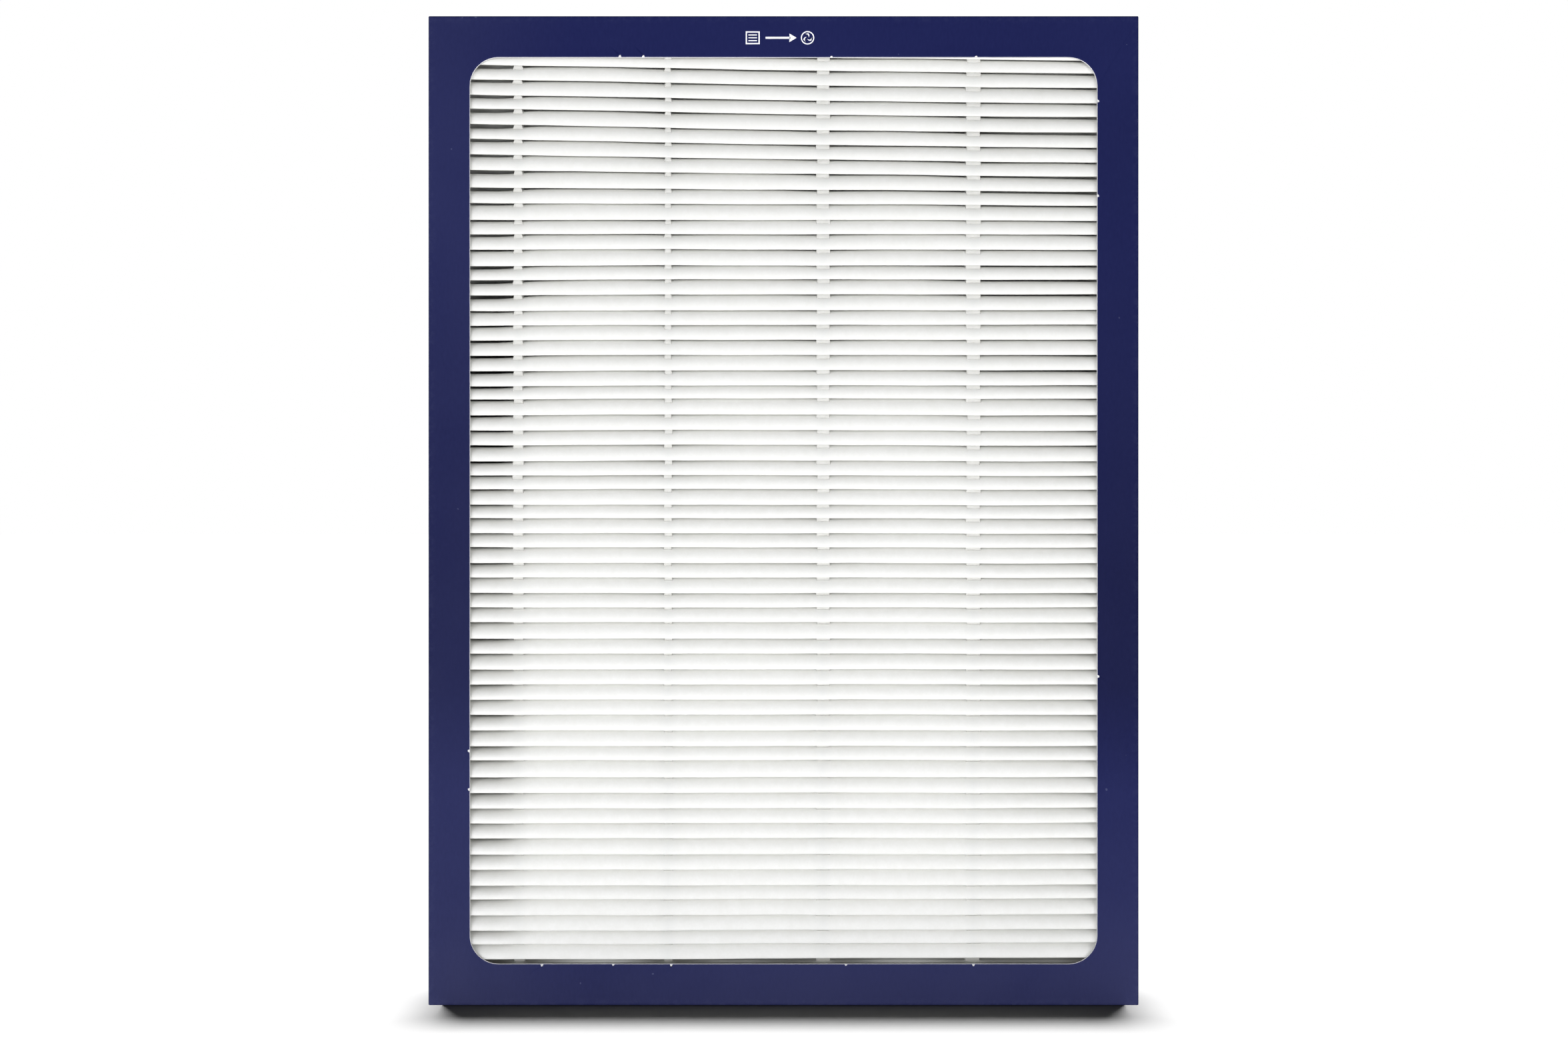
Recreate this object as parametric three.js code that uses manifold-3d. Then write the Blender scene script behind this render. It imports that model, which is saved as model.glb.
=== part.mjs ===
// A replacement particle-filter cartridge for a room air purifier: a pleated pack of non-woven paper, spaced
// by lines of hot-melt glue, sealed inside two nested trays of laminated board.
//
// Millimetres, +Z up. X is the width and Y the depth. The face with the printed side of the front tray looks
// towards -Y. The origin is the middle of the underside.

import * as THREE from 'three';
import { mergeVertices } from 'three/addons/utils/BufferGeometryUtils.js';
import Module from 'manifold-3d';

const wasm = await Module();
wasm.setup();

// Frame
const WIDTH = 300;
const HEIGHT = 418;
const DEPTH = 60;
const BOARD = 1.2;
const BORDER = 17.6;
const WINDOW_RADIUS = 12;
const FOLD_RADIUS = 0.9;
const REAR_WALL = 45;
const NEST_GAP = 0.9;
const CLEARANCE = 0.3;

// Pleated pack
const PLEATS = 64;
const PITCH = 6.35;
const SHEET = 0.5;
const CREST_HALF = 2.3;
const PACK_WIDTH = 289;

// A crest droops: above its sharp lower edge it rolls back into the gap above. Each point is a height above
// the middle of the crest and a distance behind its foremost line.
const CREST = [
  [-CREST_HALF, 1.0],
  [-1.9, 0],
  [0.9, 0.5],
  [CREST_HALF, 4.0],
];

// Hot-melt lines: the place and width of each one across the pack
const BEADS = [
  { x: -112.5, width: 4.0 },
  { x: -48.9, width: 3.0 },
  { x: 16.8, width: 5.6 },
  { x: 80.4, width: 6.0 },
];
const BEAD_FILM = 0.3;
const BEAD_REACH = 20;

// Glue strips between the nested walls
const STRIP_WIDTH = 20;
const STRIP_SETBACK = 5;
const STRIP_END = 14;

// Derived
const MIDDLE = HEIGHT / 2;
const FACE = DEPTH / 2;
const FACE_INSIDE = FACE - BOARD;
const PACK_FACE = FACE_INSIDE - CLEARANCE - BEAD_FILM - CLEARANCE;
const CREST_LINE = PACK_FACE - SHEET / 2;
const FRONT_INSIDE = { x: WIDTH / 2 - BOARD, z: HEIGHT / 2 - BOARD };
const REAR_OUTSIDE = { x: FRONT_INSIDE.x - NEST_GAP, z: FRONT_INSIDE.z - NEST_GAP };
const REAR_INSIDE = { x: REAR_OUTSIDE.x - BOARD, z: REAR_OUTSIDE.z - BOARD };
const REAR_WALL_EDGE = FACE - REAR_WALL;
const LOWEST_CREST = -((PLEATS - 1) / 2) * PITCH;
const PACK_HALF_HEIGHT = -LOWEST_CREST + CREST_HALF + SHEET / 2;
const FLANK_SLOPE = (2 * CREST_HALF - PITCH / 2) / (2 * CREST_LINE);

const navyBoard = new THREE.MeshStandardMaterial({ color: 0x2a2e5c, roughness: 0.42, metalness: 0 });
const whitePaper = new THREE.MeshStandardMaterial({ color: 0xf2f1ea, roughness: 0.95, metalness: 0 });
const clearGlue = new THREE.MeshStandardMaterial({ color: 0xe2e3dc, roughness: 0.35, metalness: 0 });
const creamGlue = new THREE.MeshStandardMaterial({ color: 0xe6e0cc, roughness: 0.4, metalness: 0 });

// Turns a closed geometry into a solid that can be joined and cut.
function solidOf(geometry) {
  const bare = geometry.clone();
  bare.deleteAttribute('normal');
  bare.deleteAttribute('uv');
  const merged = mergeVertices(bare, 1e-4);
  const vertProperties = new Float32Array(merged.attributes.position.array);
  const triVerts = new Uint32Array(merged.index.array);
  return new wasm.Manifold(new wasm.Mesh({ numProp: 3, vertProperties, triVerts }));
}

function geometryOf(solid) {
  const { vertProperties, triVerts } = solid.getMesh();
  const geometry = new THREE.BufferGeometry();
  geometry.setAttribute('position', new THREE.BufferAttribute(vertProperties, 3));
  geometry.setIndex(new THREE.BufferAttribute(triVerts, 1));
  geometry.computeVertexNormals();
  return geometry;
}

function shapeOf(points) {
  return new THREE.Shape(points.map(([u, v]) => new THREE.Vector2(u, v)));
}

// An outline of (x, y) points, extruded over the heights low to high.
function extrudeUp(shape, low, high, curveSegments = 6) {
  const geometry = new THREE.ExtrudeGeometry(shape, { depth: high - low, bevelEnabled: false, curveSegments });
  return geometry.translate(0, 0, low);
}

// An outline of (y, z) points, extruded across the given width about x = 0.
function extrudeAcross(shape, width, curveSegments = 6) {
  const geometry = extrudeUp(shape, -width / 2, width / 2, curveSegments);
  const turn = new THREE.Matrix4().makeBasis(
    new THREE.Vector3(0, 1, 0),
    new THREE.Vector3(0, 0, 1),
    new THREE.Vector3(1, 0, 0),
  );
  return geometry.applyMatrix4(turn);
}

// An outline of (x, z) points, extruded from one depth to a deeper one.
function extrudeBack(shape, front, back, curveSegments = 6) {
  const geometry = extrudeUp(shape, -back, -front, curveSegments);
  return geometry.rotateX(Math.PI / 2);
}

function rectangle(halfWidth, halfHeight, radius = 0) {
  const shape = new THREE.Shape();
  shape.moveTo(-halfWidth + radius, -halfHeight);
  shape.lineTo(halfWidth - radius, -halfHeight);
  if (radius) shape.absarc(halfWidth - radius, -halfHeight + radius, radius, -Math.PI / 2, 0);
  shape.lineTo(halfWidth, halfHeight - radius);
  if (radius) shape.absarc(halfWidth - radius, halfHeight - radius, radius, 0, Math.PI / 2);
  shape.lineTo(-halfWidth + radius, halfHeight);
  if (radius) shape.absarc(-halfWidth + radius, halfHeight - radius, radius, Math.PI / 2, Math.PI);
  shape.lineTo(-halfWidth, -halfHeight + radius);
  if (radius) shape.absarc(-halfWidth + radius, -halfHeight + radius, radius, Math.PI, 1.5 * Math.PI);
  return shape;
}

// The section of a folded tray: square at its open side, and rounded where the face folds into the walls.
function foldedSection(half, depth) {
  const shape = new THREE.Shape();
  shape.moveTo(half, depth);
  shape.lineTo(-half, depth);
  shape.lineTo(-half, FOLD_RADIUS);
  shape.absarc(-half + FOLD_RADIUS, FOLD_RADIUS, FOLD_RADIUS, Math.PI, 1.5 * Math.PI);
  shape.lineTo(half - FOLD_RADIUS, 0);
  shape.absarc(half - FOLD_RADIUS, FOLD_RADIUS, FOLD_RADIUS, -Math.PI / 2, 0);
  return shape;
}

// A board tray about x = 0 and z = 0: its face lies at y = 0 and its walls run back from it.
function makeTray(half, wall) {
  const turned = new THREE.Matrix4().makeRotationY(Math.PI / 2);
  const lengthwise = extrudeUp(foldedSection(half.x, wall), -half.z, half.z, 3);
  const crosswise = extrudeUp(foldedSection(half.z, wall), -half.x, half.x, 3).applyMatrix4(turned);
  const hollow = extrudeBack(rectangle(half.x - BOARD, half.z - BOARD), BOARD, wall + 1);
  const opening = rectangle(WIDTH / 2 - BORDER, HEIGHT / 2 - BORDER, WINDOW_RADIUS);
  const window = extrudeBack(opening, -1, BOARD + 1, 8);
  const block = solidOf(lengthwise).intersect(solidOf(crosswise));
  return geometryOf(block.subtract(solidOf(hollow)).subtract(solidOf(window)));
}

function crestHeights(count) {
  return Array.from({ length: count }, (_, i) => (i - (count - 1) / 2) * PITCH);
}

// The middle line of the folded sheet as (y, z) points, from the bottom of the pack to its top.
function sheetLine() {
  const line = [[CREST_LINE, LOWEST_CREST - CREST_HALF]];
  for (const middle of crestHeights(PLEATS)) {
    const front = CREST.map(([rise, back]) => [-CREST_LINE + back, middle + rise]);
    const rear = CREST.map(([rise, back]) => [CREST_LINE - back, middle + PITCH / 2 + rise]);
    line.push(...front);
    if (middle < -LOWEST_CREST - PITCH / 2) line.push(...rear);
  }
  line.push([CREST_LINE, -LOWEST_CREST + CREST_HALF]);
  return line;
}

// One side of a line, moved sideways by the given distance with mitred corners.
function offsetLine(line, distance) {
  return line.map((point, i) => {
    const here = new THREE.Vector2(...point);
    const before = new THREE.Vector2(...line[Math.max(i - 1, 0)]);
    const after = new THREE.Vector2(...line[Math.min(i + 1, line.length - 1)]);
    const arriving = here.clone().sub(before).normalize();
    const leaving = after.clone().sub(here).normalize();
    const along = arriving.add(leaving).normalize();
    const edge = (leaving.lengthSq() ? leaving : arriving).clone();
    const side = new THREE.Vector2(-along.y, along.x);
    const stretch = Math.max(side.dot(new THREE.Vector2(-edge.y, edge.x)), 0.5);
    return here.addScaledVector(side, distance / stretch).toArray();
  });
}

function makeMedia() {
  const line = sheetLine();
  const outline = [...offsetLine(line, SHEET / 2), ...offsetLine(line, -SHEET / 2).reverse()];
  return extrudeAcross(shapeOf(outline), PACK_WIDTH);
}

// One line of hot-melt on the front of the pack: a film over the crests, and a finger in each gap between
// two of them, which widens with the gap.
function makeBead(width, crests) {
  const front = -FACE_INSIDE + CLEARANCE;
  const back = front + BEAD_FILM;
  const tip = back + BEAD_REACH;
  const gap = PITCH / 2 - CREST_HALF - SHEET / 2 - CLEARANCE;
  const widening = FLANK_SLOPE * BEAD_REACH;
  const heights = crestHeights(crests);
  const outline = [
    [front, heights.at(-1)],
    [front, heights[0]],
    [back, heights[0]],
  ];
  for (const middle of heights.slice(0, -1).map((height) => height + PITCH / 2)) {
    outline.push([back, middle - gap], [tip, middle - gap - widening]);
    outline.push([tip, middle + gap + widening], [back, middle + gap]);
  }
  outline.push([back, heights.at(-1)]);
  return extrudeAcross(shapeOf(outline), width);
}

// The section of a seal between the pack and the trays: a slab beside the pack, with a toe that fills the
// corner behind the border of the front tray. Each point is a distance from the middle and a depth.
function sealSection(pack, rear, front) {
  const inner = pack + CLEARANCE;
  const slab = rear - CLEARANCE;
  const toe = front - CLEARANCE;
  const end = FACE_INSIDE - CLEARANCE;
  const step = REAR_WALL_EDGE - CLEARANCE;
  return [
    [inner, -end],
    [toe, -end],
    [toe, step],
    [slab, step],
    [slab, end],
    [inner, end],
  ];
}

function makeEdgeSeal(side) {
  const section = sealSection(PACK_WIDTH / 2, REAR_INSIDE.x, FRONT_INSIDE.x);
  const outline = section.map(([out, depth]) => [side * out, depth]);
  const reach = REAR_INSIDE.z - CLEARANCE;
  return extrudeUp(shapeOf(outline), -reach, reach);
}

function makeEndSeal(side) {
  const section = sealSection(PACK_HALF_HEIGHT, REAR_INSIDE.z, FRONT_INSIDE.z);
  const outline = section.map(([out, depth]) => [depth, side * out]);
  return extrudeAcross(shapeOf(outline), PACK_WIDTH);
}

const cartridge = new THREE.Group();
const body = new THREE.Group();
body.position.z = MIDDLE;
cartridge.add(body);

// What faces the rear is made as if for the front, and turned about the upright axis.
const rearSide = new THREE.Group();
rearSide.rotation.z = Math.PI;
body.add(rearSide);

function addPiece(parent, name, geometry, material) {
  const piece = new THREE.Mesh(geometry, material);
  piece.name = name;
  parent.add(piece);
  return piece;
}

const frontTray = makeTray({ x: WIDTH / 2, z: HEIGHT / 2 }, DEPTH);
addPiece(body, 'front_tray', frontTray, navyBoard).position.y = -FACE;
addPiece(rearSide, 'rear_tray', makeTray(REAR_OUTSIDE, REAR_WALL), navyBoard).position.y = -FACE;

addPiece(body, 'pleated_media', makeMedia(), whitePaper);

BEADS.forEach(({ x, width }, i) => {
  addPiece(body, `front_bead_${i + 1}`, makeBead(width, PLEATS), clearGlue).position.x = x;
  addPiece(rearSide, `rear_bead_${i + 1}`, makeBead(width, PLEATS - 1), clearGlue).position.x = -x;
});

addPiece(body, 'left_edge_seal', makeEdgeSeal(-1), creamGlue);
addPiece(body, 'right_edge_seal', makeEdgeSeal(1), creamGlue);
addPiece(body, 'bottom_end_seal', makeEndSeal(-1), creamGlue);
addPiece(body, 'top_end_seal', makeEndSeal(1), creamGlue);

const stripThickness = NEST_GAP - 2 * CLEARANCE;
const stripDepth = FACE - STRIP_SETBACK - STRIP_WIDTH / 2;
const uprightStrip = new THREE.BoxGeometry(stripThickness, STRIP_WIDTH, 2 * (REAR_OUTSIDE.z - STRIP_END));
const levelStrip = new THREE.BoxGeometry(2 * (REAR_OUTSIDE.x - STRIP_END), STRIP_WIDTH, stripThickness);
const stripPlaces = [
  ['left_wall_glue', uprightStrip, -REAR_OUTSIDE.x - NEST_GAP / 2, 0],
  ['right_wall_glue', uprightStrip, REAR_OUTSIDE.x + NEST_GAP / 2, 0],
  ['bottom_wall_glue', levelStrip, 0, -REAR_OUTSIDE.z - NEST_GAP / 2],
  ['top_wall_glue', levelStrip, 0, REAR_OUTSIDE.z + NEST_GAP / 2],
];
for (const [name, geometry, x, z] of stripPlaces) {
  addPiece(body, name, geometry, creamGlue).position.set(x, stripDepth, z);
}

export default cartridge;
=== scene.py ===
"""A pleated air filter cartridge: a navy laminated-board frame round a white pleated pack.

Lengths in the mesh code are in millimetres and become metres where a mesh is made. Places come from the CAD
nodes' boxes. The printed face looks towards -Y, X is the width and Z is up.
"""
import math
from collections import namedtuple

import bpy
import numpy as np
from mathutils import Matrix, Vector


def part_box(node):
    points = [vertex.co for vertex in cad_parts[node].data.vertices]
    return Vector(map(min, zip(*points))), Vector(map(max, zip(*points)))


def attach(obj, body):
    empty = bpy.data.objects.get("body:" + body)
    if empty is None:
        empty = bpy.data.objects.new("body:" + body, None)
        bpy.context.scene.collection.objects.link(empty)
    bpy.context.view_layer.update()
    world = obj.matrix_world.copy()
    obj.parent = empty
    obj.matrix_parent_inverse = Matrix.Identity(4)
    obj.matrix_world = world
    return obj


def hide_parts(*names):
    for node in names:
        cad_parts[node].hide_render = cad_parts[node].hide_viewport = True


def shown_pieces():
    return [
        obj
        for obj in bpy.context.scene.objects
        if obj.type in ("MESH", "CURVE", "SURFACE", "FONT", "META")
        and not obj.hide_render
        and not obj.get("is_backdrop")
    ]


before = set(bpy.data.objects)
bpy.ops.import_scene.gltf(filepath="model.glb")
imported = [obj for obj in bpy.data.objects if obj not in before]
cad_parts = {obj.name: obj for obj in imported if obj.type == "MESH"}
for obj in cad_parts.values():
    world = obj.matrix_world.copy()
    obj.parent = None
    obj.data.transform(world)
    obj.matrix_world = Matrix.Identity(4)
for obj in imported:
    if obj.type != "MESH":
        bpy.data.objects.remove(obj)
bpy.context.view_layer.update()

MM = 0.001
ROOT = "root"
rng = np.random.default_rng(7)


def box_mm(node):
    """The lowest and highest corner of a CAD node, in millimetres."""
    return [np.array(tuple(corner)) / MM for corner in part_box(node)]


# ---------------------------------------------------------------- the frame's own sizes, from the CAD nodes
TRAY_LOW, TRAY_HIGH = box_mm("front_tray")
REAR_LOW, REAR_HIGH = box_mm("rear_tray")
PACK_LOW, PACK_HIGH = box_mm("pleated_media")
FACE_Y = TRAY_LOW[1]
BACK_Y = TRAY_HIGH[1]
MIDDLE_Z = (TRAY_LOW[2] + TRAY_HIGH[2]) / 2
HALF_WIDTH = TRAY_HIGH[0]
HALF_HEIGHT = TRAY_HIGH[2] - MIDDLE_Z

BOARD = 1.2  # thickness
BORDER = 17.6  # width of the frame round a window
WINDOW_RADIUS = 12.0
FOLD_RADIUS = 0.9  # where the face folds into the walls
CORNER_RADIUS = 0.5
WINDOW_HALF = (HALF_WIDTH - BORDER, HALF_HEIGHT - BORDER)

# ---------------------------------------------------------------- the pleated pack
PLEATS = 64
PITCH = 6.35
SHEET = 0.45  # thickness
FOLD = 0.42  # radius of the turn at a crest's lip
ROLL = 8.0  # depth over which a crest rolls back
ROUNDNESS = 2.36  # exponent of that roll; a higher one is fuller
DROOP = 1.3  # how far a lip hangs over the fold below
CREST_CLEARANCE = 0.1
CREST_Y = PACK_HIGH[1] - SHEET / 2 - CREST_CLEARANCE
SPACERS = (1, 2, 3, 4)
SPACER_SPANS = [[float(corner[0]) for corner in box_mm(f"front_bead_{n}")] for n in SPACERS]
SPACER_MIDDLES = [(low + high) / 2 for low, high in SPACER_SPANS]


# ================================================================ camera, light and floor
LENS_MM = 55.0
SENSOR_MM = 36.0
VIEW_WIDTH = 662.0  # what the camera takes in at the printed face
AIM = (0.2, MIDDLE_Z - 5.0)  # the camera's x and z
CLIP = (0.01, 50)
WORLD_LIGHT = 0.1
LAMP_TINT = (0.975, 0.985, 1.045)
# Softboxes, in metres and watts: name, place, width and height, power, and the point it is turned to.
OBJECT_MIDDLE = (0, 0, MIDDLE_Z * MM)
SOFTBOXES = (
    ("left_softbox", (-0.66, -1.6, 0.12), (0.7, 0.2), 10.7, OBJECT_MIDDLE),
    ("right_softbox", (0.80, -1.6, 0.12), (0.7, 0.2), 8.8, OBJECT_MIDDLE),
    ("low_softbox", (-0.05, -0.58, 0.04), (0.5, 0.06), 0.98, (0, 0, 0.05)),
    ("rear_left_softbox", (-1.2, 1.5, 0.4), (1.0, 0.5), 16, OBJECT_MIDDLE),
    ("rear_right_softbox", (1.4, 1.2, 0.4), (1.0, 0.5), 11.5, OBJECT_MIDDLE),
    ("top_softbox", (0.05, 0.25, 1.6), (0.5, 0.5), 6, OBJECT_MIDDLE),
)
OVERHEAD_SPREAD = math.radians(5.0)
OVERHEAD_TILT = math.radians(-5.8)
FLOOR_TONE = 0.14
FLOOR_GLOW = 0.08
FLOOR_GLOW_REACH = (0.2, 0.8)  # metres from the object over which the glow sets in
FLOOR_RADII = (0.3, 0.7, 1.5, 3.0, 6.0, 14.0, 40.0)
FLOOR_SIDES = 48


def add_camera():
    camera = bpy.data.objects.new("camera", bpy.data.cameras.new("camera"))
    camera.data.lens = LENS_MM
    camera.data.sensor_width = SENSOR_MM
    distance = VIEW_WIDTH * LENS_MM / SENSOR_MM
    camera.location = Vector((AIM[0], FACE_Y - distance, AIM[1])) * MM
    camera.rotation_euler = (math.radians(90), 0, 0)
    camera.data.clip_start, camera.data.clip_end = CLIP
    bpy.context.scene.collection.objects.link(camera)
    bpy.context.scene.camera = camera


def add_softbox(name, place, size, power, aim, receivers):
    """A soft rectangular lamp that lights only the collection receivers."""
    lamp = bpy.data.lights.new(name, "AREA")
    lamp.shape = "RECTANGLE"
    lamp.size, lamp.size_y = size
    lamp.energy = power
    lamp.color = LAMP_TINT
    light = bpy.data.objects.new(name, lamp)
    light.location = place
    light.rotation_euler = (Vector(aim) - Vector(place)).to_track_quat("-Z", "Y").to_euler()
    light.light_linking.receiver_collection = receivers
    bpy.context.scene.collection.objects.link(light)


def add_lights(object_parts, floor_parts, shadow_parts):
    """Softboxes for the object alone, and light from above, a little behind, for the floor alone.

    The light from above is stopped by the filter pack only, which keeps the shadow a little inside the
    frame. It is strong enough to bring the floor to plain white.
    """
    for softbox in SOFTBOXES:
        add_softbox(*softbox, object_parts)
    above = bpy.data.objects.new("overhead_light", bpy.data.lights.new("overhead_light", "SUN"))
    above.data.energy = math.pi / FLOOR_TONE
    above.data.angle = OVERHEAD_SPREAD
    above.rotation_euler = (OVERHEAD_TILT, 0, 0)
    above.light_linking.receiver_collection = floor_parts
    above.light_linking.blocker_collection = shadow_parts
    bpy.context.scene.collection.objects.link(above)


def add_world():
    """Dim light from all round; straight behind the object the camera sees plain white."""
    world = bpy.data.worlds.new("studio")
    world.use_nodes = True
    tree = world.node_tree
    background = tree.nodes["Background"]
    background.inputs["Color"].default_value = (1, 1, 1, 1)
    path = tree.nodes.new("ShaderNodeLightPath")
    strength = tree.nodes.new("ShaderNodeMapRange")
    strength.inputs["To Min"].default_value = WORLD_LIGHT
    strength.inputs["To Max"].default_value = 1.0
    tree.links.new(path.outputs["Is Camera Ray"], strength.inputs["Value"])
    tree.links.new(strength.outputs["Result"], background.inputs["Strength"])
    bpy.context.scene.world = world


def add_floor():
    """A wide pale floor. Far from the object it glows softly, so that it runs into the white behind."""
    points = [(0, 0, 0)]
    for radius in FLOOR_RADII:
        for step in range(FLOOR_SIDES):
            angle = 2 * math.pi * step / FLOOR_SIDES
            points.append((radius * math.cos(angle), radius * math.sin(angle), 0))
    faces = [(0, 1 + c, 1 + (c + 1) % FLOOR_SIDES) for c in range(FLOOR_SIDES)]
    faces += grid_faces(len(FLOOR_RADII), FLOOR_SIDES, closed=True, start=1)
    mesh = bpy.data.meshes.new("studio_floor")
    mesh.from_pydata(points, [], faces)
    floor = bpy.data.objects.new("studio_floor", mesh)
    bpy.context.scene.collection.objects.link(floor)
    g = Graph("studio_paper")
    distance = g.node("ShaderNodeVectorMath", operation="LENGTH")
    g.link(g.place, distance.inputs[0])
    glow = g.remap(distance.outputs["Value"], *FLOOR_GLOW_REACH, 0.0, FLOOR_GLOW)
    g.link(glow, g.shader.inputs["Emission Strength"])
    g.shader.inputs["Emission Color"].default_value = (1, 1, 1, 1)
    g.shader.inputs["Base Color"].default_value = (FLOOR_TONE, FLOOR_TONE, FLOOR_TONE, 1)
    g.set(Roughness=0.9, Specular_IOR_Level=0.0)
    mesh.materials.append(g.material)
    floor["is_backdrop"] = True
    return floor


# ================================================================ materials
class Graph:
    """A Principled material and short calls for the nodes that drive it."""

    def __init__(self, name):
        self.material = bpy.data.materials.new(name)
        self.material.use_nodes = True
        self.tree = self.material.node_tree
        self.shader = self.tree.nodes["Principled BSDF"]
        self.place = self.tree.nodes.new("ShaderNodeTexCoord").outputs["Object"]

    def node(self, kind, **settings):
        made = self.tree.nodes.new(kind)
        for key, value in settings.items():
            setattr(made, key, value)
        return made

    def link(self, source, target):
        self.tree.links.new(source, target)

    def fill(self, socket, value):
        if isinstance(value, bpy.types.NodeSocket):
            self.link(value, socket)
        else:
            socket.default_value = value

    def set(self, **values):
        """Constants on the shader's own sockets; underscores stand for spaces."""
        for key, value in values.items():
            self.shader.inputs[key.replace("_", " ")].default_value = value

    def stretched(self, scale):
        """The object's coordinates, scaled by an amount for each axis."""
        mapping = self.node("ShaderNodeMapping")
        mapping.inputs["Scale"].default_value = scale
        self.link(self.place, mapping.inputs["Vector"])
        return mapping.outputs["Vector"]

    def noise(self, scale, detail=3.0, roughness=0.5, vector=None, distortion=0.0):
        made = self.node("ShaderNodeTexNoise")
        made.inputs["Scale"].default_value = scale
        made.inputs["Detail"].default_value = detail
        made.inputs["Roughness"].default_value = roughness
        made.inputs["Distortion"].default_value = distortion
        self.link(vector or self.place, made.inputs["Vector"])
        return made.outputs["Fac"]

    def math(self, operation, *values, clamp=False):
        made = self.node("ShaderNodeMath", operation=operation, use_clamp=clamp)
        for socket, value in zip(made.inputs, values):
            self.fill(socket, value)
        return made.outputs["Value"]

    def remap(self, value, low, high, to_low, to_high):
        made = self.node("ShaderNodeMapRange")
        for key, given in zip(
            ("Value", "From Min", "From Max", "To Min", "To Max"),
            (value, low, high, to_low, to_high),
        ):
            self.fill(made.inputs[key], given)
        return made.outputs["Result"]

    def mix(self, factor, first, second):
        """Blend of two colours; inputs 6 and 7 and output 2 are the node's colour sockets."""
        made = self.node("ShaderNodeMix", data_type="RGBA")
        self.fill(made.inputs["Factor"], factor)
        for socket, colour in zip(made.inputs[6:8], (first, second)):
            self.fill(socket, (*colour, 1) if isinstance(colour, tuple) else colour)
        return made.outputs[2]

    def bump(self, height, strength, distance, normal=None):
        made = self.node("ShaderNodeBump")
        made.inputs["Strength"].default_value = strength
        made.inputs["Distance"].default_value = distance
        self.link(height, made.inputs["Height"])
        if normal is not None:
            self.link(normal, made.inputs["Normal"])
        return made.outputs["Normal"]

    def attribute(self, name):
        return self.node("ShaderNodeAttribute", attribute_name=name).outputs["Fac"]

    def finish(self, color, roughness, normal):
        for key, source in (("Base Color", color), ("Roughness", roughness), ("Normal", normal)):
            self.link(source, self.shader.inputs[key])
        return self.material


# Painted shade and painted sheen on the printed board: ink darkened across the lower middle and on the
# right, and a pale painted reflection low down and on the left. Amounts, and where they change, in metres up
# from the floor or across.
# Painted shade: how much the ink is darkened across the lower middle, and more on the right.
PAINTED_SHADE = 0.28
PAINTED_SHADE_SETS_IN = (0.09, 0.135)
PAINTED_SHADE_FADES_OUT = (0.18, 0.33)
RIGHT_PAINTED_SHADE = 0.10
RIGHT_PAINTED_SHADE_FROM = (0.10, 0.14)
RIGHT_PAINTED_SHADE_ENDS = (0.37, 0.40)
# Painted sheen: how much pale painted reflection lies on the left, and low down near the floor.
LEFT_PAINTED_SHEEN = 0.009
LEFT_PAINTED_SHEEN_FROM = (-0.09, -0.135)
LOW_PAINTED_SHEEN = ((0.0, 0.05, 0.014, 0), (0.05, 0.115, 0.0085, 0))


def painted_shade_and_sheen(g):
    """Painted shade across the lower middle and on the right, and painted sheen, a pale painted reflection,
    low down and on the left.
    """
    split = g.node("ShaderNodeSeparateXYZ")
    g.link(g.place, split.inputs["Vector"])
    across, up = split.outputs["X"], split.outputs["Z"]
    above_foot = g.remap(up, *PAINTED_SHADE_SETS_IN, 0, 1)
    middle_shade = g.math("MULTIPLY", above_foot, g.remap(up, *PAINTED_SHADE_FADES_OUT, PAINTED_SHADE, 0))
    right_shade = g.math(
        "MULTIPLY", g.remap(across, *RIGHT_PAINTED_SHADE_FROM, 0, RIGHT_PAINTED_SHADE), g.remap(up, *RIGHT_PAINTED_SHADE_ENDS, 1, 0)
    )
    shade_amount = g.math("ADD", middle_shade, g.math("MULTIPLY", above_foot, right_shade))
    where_unshaded = g.remap(middle_shade, 0, PAINTED_SHADE, 1, 0.45)
    left_sheen = g.math("MULTIPLY", g.remap(across, *LEFT_PAINTED_SHEEN_FROM, 0, LEFT_PAINTED_SHEEN), where_unshaded)
    low_sheen = g.math("ADD", *(g.remap(up, *step) for step in LOW_PAINTED_SHEEN))
    return shade_amount, g.math("ADD", low_sheen, left_sheen)


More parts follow.
